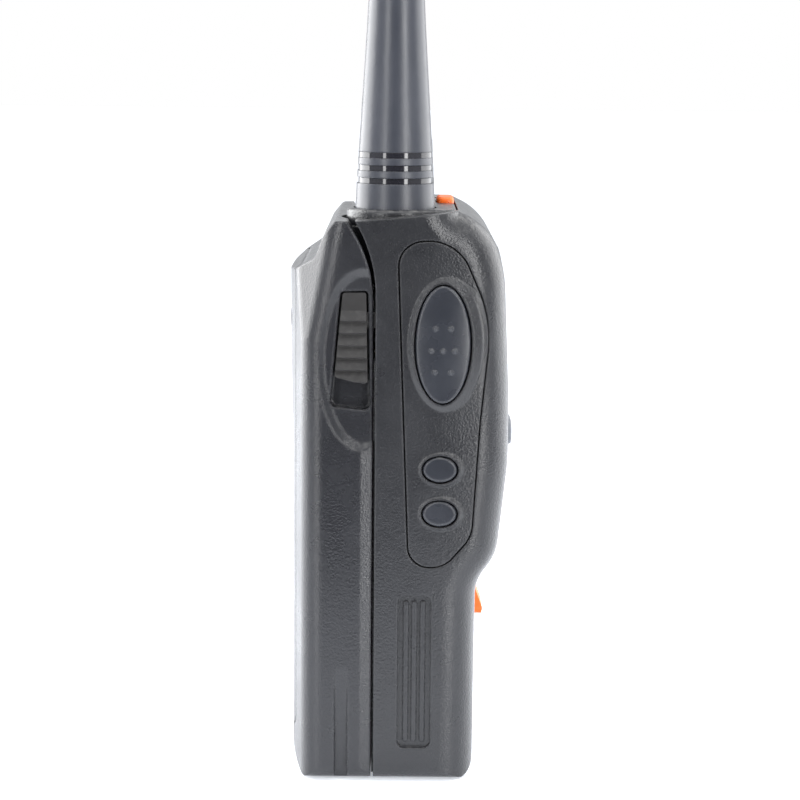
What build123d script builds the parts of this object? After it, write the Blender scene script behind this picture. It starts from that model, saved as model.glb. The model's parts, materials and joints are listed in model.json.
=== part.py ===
from build123d import *
from math import asin, degrees
import os

os.makedirs("parts", exist_ok=True)

# A hand-held two-way radio, standing on its foot.
# +Z is up, -Y is the face with the speaker, -X is the side with the talk key.
# The origin is the middle of the foot, on the surface that the radio stands on.

# ---------------------------------------------------------------- driving sizes
body_width = 56.0
body_height = 108.0       # side wall, from the foot to the top at the seam
case_depth = 19.3         # front case at the foot, from its face to the seam
battery_depth = 16.0      # battery at the foot, from the seam to its back
bulge = 6.2               # how far the face swells in front of the foot
top_rise = 1.7            # climb of the case's side edge from the seam to the face
front_corner = 7.0        # rounding of the upright front edges
flank_crown = 72.0        # radius of the case's sides, which curve in towards the face
back_corner = 4.5         # rounding of the upright back edges
foot_round = 3.0          # rounding under the foot
wall = 2.2                # front, top and bottom walls of the case
side_wall = 3.8           # the side walls hold the key panel and are thicker
seam_gap = 0.5            # dark line between the case and the battery
insert_gap = 0.15         # clearance round a piece that sits still in a pocket
panel_gap = 0.3           # dark line round the key panel
key_gap = 0.25            # clearance all round a key that travels
shaft_gap = 0.05          # radial clearance of a turning shaft
lip_gap = 0.15            # between the lip inside the seam and the battery
plate_gap = 0.3           # dark line round the plate on the battery's back

# where the outlines bend, measured up from the foot or down from the top
bulge_foot = 38.4
bulge_lip = 43.4
bulge_full = 62.0
face_turn_drop = 32.0
brow_drop = 10.0
seam_curve_drop = 14.0
seam_curve_radius = 27.0

half_width = body_width / 2
seam_y = (case_depth - battery_depth) / 2
foot_front = -(case_depth + battery_depth) / 2
foot_back = (case_depth + battery_depth) / 2
face_y = foot_front - bulge
top_z = body_height + top_rise
battery_front = seam_y + seam_gap
cavity_half = half_width - side_wall
cavity_bottom = 3.0
cavity_top = body_height - 3.7
chassis_top = body_height - seam_curve_drop

# ------------------------------------------------------------ outline of the case


def side_outline(half, inset=0.0):
    """Side view of the front case, in Y and Z at x = -half, moved in by the wall."""
    with BuildSketch(Plane.YZ.offset(-half)) as outline:
        with BuildLine():
            face = FilletPolyline(
                (foot_front, 0),
                (foot_front - 0.2, bulge_foot),
                (face_y + 2.0, bulge_lip),
                (face_y, bulge_full),
                (face_y + 0.15, body_height - face_turn_drop),
                (face_y + 1.2, body_height - brow_drop),
                (face_y + 2.9, body_height - 4.5),
                (face_y + 5.6, top_z - 2.2),
                (face_y + 10.2, top_z),
                radius=[8, 10, 40, 40, 25, 9, 12],
            )
            turn = degrees(asin(seam_curve_drop / seam_curve_radius))
            curl = JernArc(
                (seam_y, body_height - seam_curve_drop), (0, 1), seam_curve_radius, -turn
            )
            Line(face @ 1, curl @ 1)
            Polyline(curl @ 0, (seam_y, 0), (foot_front, 0))
        make_face()
        if inset:
            offset(amount=-inset)
    return outline.sketch


with BuildPart() as case_block:
    extrude(side_outline(half_width), amount=body_width, dir=(1, 0, 0))
    # the sides curve in from the keys to the face
    with BuildSketch(Plane.XY) as plan:
        with BuildLine():
            curve_back, curve_front = seam_y - 8.0, face_y - 1.0
            turn = degrees(asin((curve_back - curve_front) / flank_crown))
            right = JernArc((half_width, curve_back), (0, -1), flank_crown, -turn)
            left = JernArc((-half_width, curve_back), (0, -1), flank_crown, turn)
            Line(right @ 1, left @ 1)
            Polyline(right @ 0, (half_width, foot_back), (-half_width, foot_back), left @ 0)
        make_face()
    extrude(plan.sketch, amount=2 * body_height, dir=(0, 0, 1), mode=Mode.INTERSECT)
    uprights = case_block.edges().filter_by(
        lambda e: e.center().Y < foot_front + 0.5 and abs(e.center().X) > half_width - 4
    )
    fillet(uprights, radius=front_corner)
    # rounded under the foot
    with BuildSketch(Plane.XZ.offset(-foot_back)) as frontal:
        with Locations((0, body_height)):
            Rectangle(body_width, 2 * body_height)
        fillet(frontal.vertices().group_by(Axis.Z)[0], radius=foot_round)
    extrude(frontal.sketch, amount=4 * foot_back, dir=(0, -1, 0), mode=Mode.INTERSECT)
    with BuildSketch(Plane.YZ.offset(-half_width)) as toe:
        with Locations((foot_front, 0)):
            Rectangle(2 * foot_round, 2 * foot_round)
        with Locations((foot_front + foot_round, foot_round)):
            Circle(foot_round, mode=Mode.SUBTRACT)
    extrude(toe.sketch, amount=body_width, dir=(1, 0, 0), mode=Mode.SUBTRACT)


def brick(x, y, z, mode=Mode.ADD):
    """A box between two values on each axis."""
    middle = tuple((low + high) / 2 for low, high in (x, y, z))
    with Locations(middle):
        Box(x[1] - x[0], y[1] - y[0], z[1] - z[0], mode=mode)


def oval(x, y, z, wide, tall):
    """An oval outline on an upright plane that faces sideways."""
    with BuildSketch(Plane.YZ.offset(x)) as outline:
        with Locations((y, z)):
            Ellipse(wide / 2, tall / 2)
    return outline.sketch


def rounded(plane, centre, width, height, radius):
    """A rectangle with round corners on a plane, about a point of that plane."""
    with BuildSketch(plane) as outline:
        with Locations(centre):
            RectangleRounded(width, height, radius)
    return outline.sketch


# ------------------------------------------------- places that several pieces share
ptt_y, ptt_z = seam_y - 12.6, body_height - 22.8
ptt_wide, ptt_tall = 10.9, 22.6       # the oval opening for the talk key
panel_depth = 1.8                     # thickness of the key panel
panel_x = -half_width + panel_depth   # back face of the key panel
side_keys = {"side_key_upper": ptt_z - 23.8, "side_key_lower": ptt_z - 32.3}
side_key_y = ptt_y + 0.3
side_key_wide, side_key_tall = 7.0, 5.4
switch_x = -cavity_half + 1.3         # face of the side switches' board
grip_y, grip_z, grip_wide, grip_tall = seam_y - 7.75, 21.8, 6.4, 30.3
grip_depth, grip_rib = 0.8, 0.9

grille_z, grille_wide, grille_tall = body_height - 24.5, 36.0, 23.0
grille_thick, slit_tall, slit_pitch, slit_count = 1.6, 1.1, 2.4, 9
badge_z, badge_wide, badge_tall, badge_rise = body_height - 8.6, 16.0, 4.6, 0.35
lens_z, lens_wide, lens_tall, lens_thick = 53.0, 36.0, 16.0, 1.4
menu_key_z, menu_key_wide, menu_key_tall, menu_key_rise = 66.4, 9.6, 5.0, 0.9
menu_key_x = (-11.5, 0.0, 11.5)
alert_z, alert_wide, alert_tall = 30.1, 8.0, 7.2
mic_x, mic_z = 9.0, 20.0

antenna_x, antenna_y = -15.0, seam_y - 3.4
knob_y = seam_y - 5.3
knob_x = {"channel": 2.6, "volume": 18.6}
knob_radius = {"channel": 5.9, "volume": 5.9}
knob_height = {"channel": 12.5, "volume": 11.0}
lobe_radius = 9.2
plate_top = top_z + 0.1               # flat top of the control plate
plate_floor = body_height - 1.4       # floor of the pocket that the plate sits in
plate_front, plate_back = seam_y - 15.2, seam_y + 2.0
top_key_x, top_key_y = 3.0, seam_y - 13.3
top_key_wide, top_key_deep = 9.0, 3.4
light_x, light_y, light_radius = 15.0, seam_y - 12.4, 1.2

jack_y, jack_z = seam_y - 9.5, body_height - 24.0
cover_wide, cover_tall, cover_thick = 11.0, 30.0, 1.6
jack_radius = 3.2
jack_spots = (jack_z + 7.0, jack_z - 2.5)
cover_screw_z = jack_z - 11.0
board_y = seam_y - 5.6                # back face of the main board
board_thick = 1.2
key_board_y = foot_front + 5.6        # back face of the key board
dome_y, dome_height = key_board_y - board_thick, 0.35
chassis_thick = 2.0
chassis_screw_x, chassis_screw_z = 21.5, (9.0, 70.0)
pillar_length = 5.0
chassis_back = seam_y - 0.2


def panel_outline(x, grow=0.0):
    """Closed outline of the side key panel, about the middle of the talk key."""
    corners = (
        (8.4, 18.6), (-2.2, 19.7), (-8.9, 4.5), (-7.0, -15.0), (-5.7, -36.8), (-0.6, -42.6),
        (6.0, -42.6),
    )
    with BuildSketch(Plane.YZ.offset(x)) as outline:
        with BuildLine():
            FilletPolyline(
                *[(ptt_y + dy, ptt_z + dz) for dy, dz in corners],
                radius=[4.5, 8, 24, 80, 6, 5, 4], close=True,
            )
        make_face()
        if grow:
            offset(amount=grow)
    return outline.sketch


def control_plate_outline(z, grow=0.0):
    """Plan of the control plate: a rounded plate with a lobe round the antenna."""
    middle = (plate_front + plate_back) / 2
    with BuildSketch(Plane.XY.offset(z)) as outline:
        with Locations((1.5, middle)):
            RectangleRounded(48.0, plate_back - plate_front, 4.0)
        with Locations((antenna_x, antenna_y)):
            Circle(lobe_radius)
        if grow:
            offset(amount=grow)
    return outline.sketch


antenna_radius, antenna_tip_radius, antenna_length = 7.6, 3.6, 150.0
rod_radius, seat_depth = 1.2, 0.9
control_board_z = body_height - 8.4   # upper face of the board under the controls
top_switch_z = control_board_z + 2.0
top_key_rise = 1.1
flange = 1.6                          # how much wider a key's collar is than the key
key_travel, ptt_travel = 0.6, 1.0
socket_radius, bush_radius, spindle_radius = 4.2, 3.5, 2.0
screw_radius, screw_head_radius = 1.25, 2.3
speaker_radius = 13.0
latch_depth, latch_travel = 3.4, 4.5
arm_top, arm_tall = body_height - 17.0, 3.0
arm_x = (half_width - 3.1, half_width - 1.5)
spring_groove, spring_wide, spring_room, spring_lift = 2.2, 2.4, 13.0, 6.7
lug_z = body_height - 19.6
clip_bore, pad_radius = 1.25, 2.2
cell_wide, cell_deep, cell_tall = 23.4, 9.4, 62.0


def front_outline(y, x, z, wide, tall, radius):
    """A rounded rectangle on an upright plane that faces the front."""
    return rounded(Plane.XZ.offset(-y), (x, z), wide, tall, radius)


def face_skin(outline, thick):
    """The skin of the case's face behind an outline, of an even thickness."""
    with BuildPart() as skin:
        extrude(outline, amount=bulge + 1.5, dir=(0, 1, 0))
        add(case_block, mode=Mode.INTERSECT)
        extrude(side_outline(half_width, thick), amount=body_width, dir=(1, 0, 0),
                mode=Mode.SUBTRACT)
    return skin.part


# ================================================================== the front case
with BuildPart() as case_hollow:
    extrude(side_outline(cavity_half, wall), amount=2 * cavity_half, dir=(1, 0, 0))
    brick((-cavity_half, cavity_half), (face_y, foot_back), (0, cavity_top), Mode.INTERSECT)
    brick((-cavity_half, cavity_half),
          (min(chassis_back - chassis_thick, seam_y - wall), seam_y + 1),
          (cavity_bottom, chassis_top))

with BuildPart() as front_case:
    add(case_block)
    # lobe behind the top edge that carries the antenna
    with Locations((antenna_x, antenna_y, body_height - 12.0)):
        Cylinder(lobe_radius, plate_floor - body_height + 12.0,
                 align=(Align.CENTER, Align.CENTER, Align.MIN))
    add(case_hollow, mode=Mode.SUBTRACT)
    # pocket for the control plate, and the bores for what stands in it
    extrude(control_plate_outline(plate_floor, insert_gap), amount=2 * wall, dir=(0, 0, 1),
            mode=Mode.SUBTRACT)
    with Locations((antenna_x, antenna_y, plate_floor)):
        Hole(socket_radius + insert_gap, depth=10)
    with Locations(*[(x, knob_y, plate_floor) for x in knob_x.values()]):
        Hole(bush_radius + insert_gap, depth=10)
    with Locations((light_x, light_y, plate_floor)):
        Hole(light_radius + insert_gap, depth=10)
    extrude(rounded(Plane.XY.offset(cavity_top - 1), (top_key_x, top_key_y),
                    top_key_wide + flange, top_key_deep + flange, 1.5),
            amount=wall + 2, dir=(0, 0, 1), mode=Mode.SUBTRACT)
    # side pocket for the key panel, with a window behind each key
    extrude(panel_outline(-half_width - 1, panel_gap), amount=panel_depth + 1,
            dir=(1, 0, 0), mode=Mode.SUBTRACT)
    extrude(oval(-half_width, ptt_y, ptt_z, ptt_wide + 2 * flange, ptt_tall + 2 * flange),
            amount=side_wall + 1, dir=(1, 0, 0), mode=Mode.SUBTRACT)
    for key_z in side_keys.values():
        extrude(oval(-half_width, side_key_y, key_z, side_key_wide + flange,
                     side_key_tall + flange),
                amount=side_wall + 1, dir=(1, 0, 0), mode=Mode.SUBTRACT)
    # ribbed grip low on each side
    for side in (-1, 1):
        extrude(rounded(Plane.YZ.offset(side * half_width), (grip_y, grip_z), grip_wide,
                        grip_tall, 1.4),
                amount=grip_depth, dir=(-side, 0, 0), mode=Mode.SUBTRACT)
        for step in (-1, 0, 1):
            extrude(rounded(Plane.YZ.offset(side * (half_width - grip_depth)),
                            (grip_y + step * grip_wide / 4, grip_z), grip_rib,
                            grip_tall - 2.4, 0.4),
                    amount=0.6 * grip_depth, dir=(side, 0, 0))
    # face: a seat and a window for the speaker grille and for the display
    for z, wide, tall, thick, rim in (
        (grille_z, grille_wide, grille_tall, grille_thick, 1.5),
        (lens_z, lens_wide, lens_tall, lens_thick, 2.0),
    ):
        seat = front_outline(face_y - 1, 0, z, wide + 2 * insert_gap, tall + 2 * insert_gap,
                             3.0)
        add(face_skin(seat, thick + insert_gap), mode=Mode.SUBTRACT)
        extrude(front_outline(face_y, 0, z, wide - 2 * rim, tall - 2 * rim, 2.0),
                amount=bulge, dir=(0, 1, 0), mode=Mode.SUBTRACT)
    # face: openings for the menu keys, the alert key and the microphone
    for key_x in menu_key_x:
        extrude(front_outline(face_y - 1, key_x, menu_key_z, menu_key_wide + 2 * key_gap,
                              menu_key_tall + 2 * key_gap, 2.2),
                amount=bulge, dir=(0, 1, 0), mode=Mode.SUBTRACT)
    extrude(front_outline(face_y - 1, 0, alert_z, alert_wide + 2 * key_gap,
                          alert_tall + 2 * key_gap, 2.2),
            amount=bulge + wall + 2, dir=(0, 1, 0), mode=Mode.SUBTRACT)
    with Locations(Plane.XZ.offset(-foot_front + 1) * Location((mic_x, mic_z))):
        Cylinder(0.8, 2 * wall + 4, mode=Mode.SUBTRACT)
    # lip that closes the seam round the foot and the sides, just short of the battery
    brick((-half_width + 2.6, half_width - 2.6), (seam_y - 1.0, battery_front - lip_gap),
          (1.3, cavity_bottom - 0.6))
    for side in (-1, 1):
        brick(sorted((side * (half_width - 2.6), side * (half_width - 1.4))),
              (seam_y - 1.0, battery_front - lip_gap),
              (1.3, arm_top - arm_tall - latch_travel - 1.6))
    # pockets in the side walls that the battery's latch arms enter
    for side in (-1, 1):
        brick(sorted((side * (cavity_half - 0.5), side * (arm_x[1] + 0.4))),
              (seam_y - 3.0, seam_y + 0.5),
              (arm_top - arm_tall - latch_travel - 0.8, arm_top + 0.8), Mode.SUBTRACT)
    # seat of the accessory cover, and the bores for the jacks behind it
    extrude(rounded(Plane.YZ.offset(half_width), (jack_y, jack_z), cover_wide, cover_tall, 3.0),
            amount=cover_thick, dir=(-1, 0, 0), mode=Mode.SUBTRACT)
    with Locations(*[Plane.YZ.offset(half_width - side_wall - 1) * Location((jack_y, z))
                     for z in jack_spots]):
        Cylinder(jack_radius + insert_gap, 2 * side_wall,
                 align=(Align.CENTER, Align.CENTER, Align.MIN), mode=Mode.SUBTRACT)
    with Locations(Plane.YZ.offset(half_width - side_wall + 0.4)
                   * Location((jack_y, cover_screw_z))):
        Cylinder(screw_radius - 0.25, side_wall,
                 align=(Align.CENTER, Align.CENTER, Align.MIN), mode=Mode.SUBTRACT)
    # nut pillars for the chassis screws
    for x in (-1, 1):
        for z in chassis_screw_z:
            with Locations(Plane.XZ.offset(-(chassis_back - chassis_thick))
                           * Location((x * chassis_screw_x, z))):
                Cylinder(3.0, pillar_length, align=(Align.CENTER, Align.CENTER, Align.MIN))
                Cylinder(screw_radius - 0.25, pillar_length - 0.5,
                         align=(Align.CENTER, Align.CENTER, Align.MIN), mode=Mode.SUBTRACT)
front_case.part.label = "front_case"
export_step(front_case.part, "parts/front_case.step")

# ============================================================ side panel and its keys
key_rims = [(ptt_y, ptt_z, ptt_wide, ptt_tall, 1.2, 0.45)]
key_rims += [(side_key_y, z, side_key_wide, side_key_tall, 0.6, 0.2)
             for z in side_keys.values()]

with BuildPart() as key_panel:
    extrude(panel_outline(-half_width - 1), amount=panel_depth + 1, dir=(1, 0, 0))
    add(case_block, mode=Mode.INTERSECT)
    # a raised rim round each opening
    for y, z, wide, tall, rim, rise in key_rims:
        with BuildSketch(Plane.YZ.offset(-half_width + 0.6)):
            with Locations((y, z)):
                Ellipse(wide / 2 + 1.9 * rim, tall / 2 + 1.9 * rim)
        with BuildSketch(Plane.YZ.offset(-half_width - rise)):
            with Locations((y, z)):
                Ellipse(wide / 2 + 0.35, tall / 2 + 0.35)
        loft()
        extrude(oval(-half_width - 1, y, z, wide, tall), amount=panel_depth + 1,
                dir=(1, 0, 0), mode=Mode.SUBTRACT)
key_panel.part.label = "key_panel"
export_step(key_panel.part, "parts/key_panel.step")

ptt_rise, ptt_crown = 0.9, 22.0
with BuildPart() as ptt_key:
    extrude(oval(-half_width - ptt_rise, ptt_y, ptt_z, ptt_wide - 2 * key_gap,
                 ptt_tall - 2 * key_gap),
            amount=panel_depth + ptt_rise + 0.3, dir=(1, 0, 0))
    # the face is crowned across and along
    with Locations((-half_width - ptt_rise + ptt_crown, ptt_y, ptt_z)):
        Cylinder(ptt_crown, 2 * ptt_tall, mode=Mode.INTERSECT)
    fillet(ptt_key.faces().sort_by(Axis.X)[0].edges(), radius=0.5)
    # raised dots for the thumb: three pairs, and one in the middle
    dots = [(0, -1.1)]
    dots += [(side * dy, dz) for dy, dz in ((1.4, 3.1), (2.1, -1.1), (1.5, -5.1))
             for side in (-1, 1)]
    for dy, dz in dots:
        sag = ptt_crown - (ptt_crown ** 2 - dy ** 2) ** 0.5
        with Locations((-half_width - ptt_rise + sag + 0.15, ptt_y + dy, ptt_z + dz)):
            Sphere(0.5)
    # collar behind the panel and the peg that works the switch
    extrude(oval(panel_x + 0.1, ptt_y, ptt_z, ptt_wide + flange, ptt_tall + flange),
            amount=0.8, dir=(1, 0, 0))
    extrude(oval(panel_x + 0.8, ptt_y, ptt_z, 3.0, 3.0),
            amount=switch_x - panel_x - 0.8 - ptt_travel - 0.8, dir=(1, 0, 0))
ptt_key.part.label = "ptt_key"
export_step(ptt_key.part, "parts/ptt_key.step")

side_rise = 0.35
for name, key_z in side_keys.items():
    with BuildPart() as side_key:
        extrude(oval(-half_width - side_rise, side_key_y, key_z, side_key_wide - 2 * key_gap,
                     side_key_tall - 2 * key_gap),
                amount=panel_depth + side_rise + 0.3, dir=(1, 0, 0))
        fillet(side_key.faces().sort_by(Axis.X)[0].edges(), radius=0.6)
        extrude(oval(panel_x + 0.1, side_key_y, key_z, side_key_wide + 0.8,
                     side_key_tall + 0.8),
                amount=0.8, dir=(1, 0, 0))
        extrude(oval(panel_x + 0.8, side_key_y, key_z, 2.4, 2.4),
                amount=switch_x - panel_x - 0.8 - key_travel - 0.8, dir=(1, 0, 0))
    side_key.part.label = name
    export_step(side_key.part, f"parts/{name}.step")

with BuildPart() as side_board:
    brick((switch_x, switch_x + 0.8), (ptt_y - 4, ptt_y + 5), (ptt_z - 38, ptt_z + 6))
side_board.part.label = "side_board"
export_step(side_board.part, "parts/side_board.step")

with BuildPart() as side_switches:
    for y, z in [(ptt_y, ptt_z)] + [(side_key_y, z) for z in side_keys.values()]:
        brick((switch_x - 0.5, switch_x), (y - 2, y + 2), (z - 2, z + 2))
        with Locations(Plane.YZ.offset(switch_x - 0.6) * Location((y, z))):
            Cylinder(1.2, 0.2)
side_switches.part.label = "side_switches"
export_step(side_switches.part, "parts/side_switches.step")

# ================================================================ pieces in the face
with BuildPart() as speaker_grille:
    add(face_skin(front_outline(face_y - 1, 0, grille_z, grille_wide, grille_tall, 3.0),
                  grille_thick))
    for row in range(slit_count):
        z = grille_z + (row - (slit_count - 1) / 2) * slit_pitch
        extrude(front_outline(face_y - 1, 0, z, grille_wide - 6, slit_tall, 0.5),
                amount=bulge, dir=(0, 1, 0), mode=Mode.SUBTRACT)
speaker_grille.part.label = "speaker_grille"
export_step(speaker_grille.part, "parts/speaker_grille.step")

with BuildPart() as display_lens:
    add(face_skin(front_outline(face_y - 1, 0, lens_z, lens_wide, lens_tall, 3.0),
                  lens_thick))
display_lens.part.label = "display_lens"
export_step(display_lens.part, "parts/display_lens.step")

for key_name, key_x in zip(("menu_key_left", "menu_key_middle", "menu_key_right"),
                           menu_key_x):
    with BuildPart() as menu_key:
        outer = front_outline(face_y - menu_key_rise, key_x, menu_key_z, menu_key_wide,
                              menu_key_tall, 2.0)
        extrude(outer, amount=dome_y - dome_height - key_travel - 0.1 - face_y
                + menu_key_rise, dir=(0, 1, 0))
        fillet(menu_key.faces().sort_by(Axis.Y)[0].edges(), radius=0.6)
        extrude(front_outline(face_y + wall + 0.15, key_x, menu_key_z, menu_key_wide + 1.2,
                              menu_key_tall + 1.2, 2.4),
                amount=0.9, dir=(0, 1, 0))
    menu_key.part.label = key_name
    export_step(menu_key.part, f"parts/{key_name}.step")

alert_rise = 2.4
with BuildPart() as alert_key:
    # a drop shape: flat under the key, thinning to nothing at its top
    with BuildSketch(Plane.YZ.offset(-alert_wide / 2)) as drop:
        with BuildLine():
            FilletPolyline(
                (foot_front + 3.2, alert_z + alert_tall / 2),
                (foot_front - 0.3, alert_z + alert_tall / 2),
                (foot_front - alert_rise, alert_z - alert_tall / 2 + 1.6),
                (foot_front - alert_rise + 0.2, alert_z - alert_tall / 2),
                (foot_front + 3.2, alert_z - alert_tall / 2),
                radius=[0.3, 1.2, 0.3],
            )
            Line((foot_front + 3.2, alert_z - alert_tall / 2),
                 (foot_front + 3.2, alert_z + alert_tall / 2))
        make_face()
    extrude(drop.sketch, amount=alert_wide, dir=(1, 0, 0))
    extrude(front_outline(foot_front - 5, 0, alert_z, alert_wide, alert_tall, 2.0),
            amount=12, dir=(0, 1, 0), mode=Mode.INTERSECT)
    brick((-1.5, 1.5), (foot_front + 3.0, dome_y - dome_height - key_travel - 0.1),
          (alert_z - 1.5, alert_z + 1.5))
alert_key.part.label = "alert_key"
export_step(alert_key.part, "parts/alert_key.step")

with BuildPart() as badge:
    # a blank plate that stands a little proud of the brow
    extrude(front_outline(face_y - 1, 0, badge_z, badge_wide, badge_tall, 1.2),
            amount=bulge, dir=(0, 1, 0))
    add(case_block.part.moved(Location((0, -badge_rise, 0))), mode=Mode.INTERSECT)
    add(case_block, mode=Mode.SUBTRACT)
badge.part.label = "badge"
export_step(badge.part, "parts/badge.step")

with BuildPart() as key_board:
    brick((-21, 21), (key_board_y - board_thick, key_board_y), (14, grille_z - 13))
key_board.part.label = "key_board"
export_step(key_board.part, "parts/key_board.step")

with BuildPart() as dome_switches:
    for x, z in [(x, menu_key_z) for x in menu_key_x] + [(0, alert_z)]:
        with Locations(Plane.XZ.offset(-dome_y) * Location((x, z))):
            Cylinder(2.4, dome_height, align=(Align.CENTER, Align.CENTER, Align.MIN))
dome_switches.part.label = "dome_switches"
export_step(dome_switches.part, "parts/dome_switches.step")

lcd_front = foot_front + wall - 3.8
with BuildPart() as display_frame:
    brick((-17.5, 17.5), (lcd_front + 2.0, dome_y), (lens_z - 9, lens_z + 9))
    brick((-14.5, 14.5), (lcd_front + 2.0, dome_y), (lens_z - 6, lens_z + 6), Mode.SUBTRACT)
display_frame.part.label = "display_frame"
export_step(display_frame.part, "parts/display_frame.step")

with BuildPart() as display_panel:
    brick((-17, 17), (lcd_front, lcd_front + 2.0), (lens_z - 8.5, lens_z + 8.5))
display_panel.part.label = "display_panel"
export_step(display_panel.part, "parts/display_panel.step")


# ------------------------------------------------------------------- speaker and mic
speaker_front = face_y + 4.3
cone_axis = Axis((0, 0, grille_z), (0, 1, 0))
cone_plane = Plane.XY.offset(grille_z)
with BuildPart() as speaker_frame:
    with BuildSketch(cone_plane) as basket:
        with BuildLine():
            Polyline(
                (speaker_radius - 1.4, speaker_front), (speaker_radius, speaker_front),
                (speaker_radius, speaker_front + 1.5), (speaker_radius - 4.5, speaker_front + 4.8),
                (speaker_radius - 6.0, speaker_front + 4.8),
                (speaker_radius - 6.0, speaker_front + 3.8),
                (speaker_radius - 1.4, speaker_front + 0.9), close=True,
            )
        make_face()
    revolve(basket.sketch, cone_axis)
speaker_frame.part.label = "speaker_frame"
export_step(speaker_frame.part, "parts/speaker_frame.step")

with BuildPart() as speaker_cone:
    with BuildSketch(cone_plane) as paper:
        with BuildLine():
            Polyline(
                (0, speaker_front + 1.3), (3.5, speaker_front + 2.2),
                (speaker_radius - 1.8, speaker_front + 0.2),
                (speaker_radius - 1.8, speaker_front + 0.5),
                (3.5, speaker_front + 2.5), (0, speaker_front + 1.6), close=True,
            )
        make_face()
    revolve(paper.sketch, cone_axis)
speaker_cone.part.label = "speaker_cone"
export_step(speaker_cone.part, "parts/speaker_cone.step")

with BuildPart() as speaker_magnet:
    with Locations(Plane.XZ.offset(-speaker_front - 4.9) * Location((0, grille_z))):
        Cylinder(speaker_radius - 6.5, 2.6, align=(Align.CENTER, Align.CENTER, Align.MAX))
speaker_magnet.part.label = "speaker_magnet"
export_step(speaker_magnet.part, "parts/speaker_magnet.step")

with BuildPart() as microphone:
    with Locations(Plane.XZ.offset(-foot_front - wall - 0.15) * Location((mic_x, mic_z))):
        Cylinder(3.0, dome_y - foot_front - wall - 0.2,
                 align=(Align.CENTER, Align.CENTER, Align.MAX))
microphone.part.label = "microphone"
export_step(microphone.part, "parts/microphone.step")

# ============================================================ control plate and top keys
with BuildPart() as control_plate:
    extrude(control_plate_outline(plate_floor), amount=plate_top - plate_floor, dir=(0, 0, 1))
    fillet(control_plate.faces().sort_by(Axis.Z)[-1].edges(), radius=0.8)
    with Locations((antenna_x, antenna_y, plate_top)):
        CounterBoreHole(socket_radius + insert_gap, antenna_radius + 0.3, seat_depth)
    with Locations(*[(x, knob_y, plate_top) for x in knob_x.values()]):
        Hole(bush_radius + insert_gap)
    with Locations((light_x, light_y, plate_top)):
        Hole(light_radius + insert_gap)
    extrude(rounded(Plane.XY.offset(plate_floor), (top_key_x, top_key_y),
                    top_key_wide + 2 * key_gap, top_key_deep + 2 * key_gap, 1.6),
            amount=plate_top, dir=(0, 0, 1), mode=Mode.SUBTRACT)
control_plate.part.label = "control_plate"
export_step(control_plate.part, "parts/control_plate.step")

with BuildPart() as emergency_key:
    extrude(rounded(Plane.XY.offset(plate_floor - 0.6), (top_key_x, top_key_y), top_key_wide,
                    top_key_deep, 1.4),
            amount=plate_top + top_key_rise - plate_floor + 0.6, dir=(0, 0, 1))
    fillet(emergency_key.faces().sort_by(Axis.Z)[-1].edges(), radius=0.7)
    extrude(rounded(Plane.XY.offset(plate_floor - 1.2), (top_key_x, top_key_y),
                    top_key_wide + 0.9, top_key_deep + 0.9, 1.4),
            amount=1.0, dir=(0, 0, 1))
    with Locations((top_key_x, top_key_y, plate_floor - 1.2)):
        Cylinder(1.2, plate_floor - 1.2 - top_switch_z - key_travel - 0.2,
                 align=(Align.CENTER, Align.CENTER, Align.MAX))
emergency_key.part.label = "emergency_key"
export_step(emergency_key.part, "parts/emergency_key.step")

with BuildPart() as light_pipe:
    with Locations((light_x, light_y, plate_top + 0.15)):
        Cylinder(light_radius, plate_top + 0.15 - control_board_z - 2.4,
                 align=(Align.CENTER, Align.CENTER, Align.MAX))
    fillet(light_pipe.faces().sort_by(Axis.Z)[-1].edges(), radius=0.3)
light_pipe.part.label = "light_pipe"
export_step(light_pipe.part, "parts/light_pipe.step")

with BuildPart() as control_board:
    brick((-4.5, 23.5), (seam_y - 18.5, seam_y - 2.6),
          (control_board_z - board_thick, control_board_z))
control_board.part.label = "control_board"
export_step(control_board.part, "parts/control_board.step")

with BuildPart() as control_board_parts:
    brick((top_key_x - 1.8, top_key_x + 1.8), (top_key_y - 1.6, top_key_y + 1.6),
          (control_board_z, top_switch_z - 0.2))
    with Locations((top_key_x, top_key_y, top_switch_z - 0.2)):
        Cylinder(1.0, 0.2, align=(Align.CENTER, Align.CENTER, Align.MIN))
    # the status light, under its light pipe
    brick((light_x - 1, light_x + 1), (light_y - 0.8, light_y + 0.8),
          (control_board_z, control_board_z + 1.4))
control_board_parts.part.label = "control_board_parts"
export_step(control_board_parts.part, "parts/control_board_parts.step")

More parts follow.
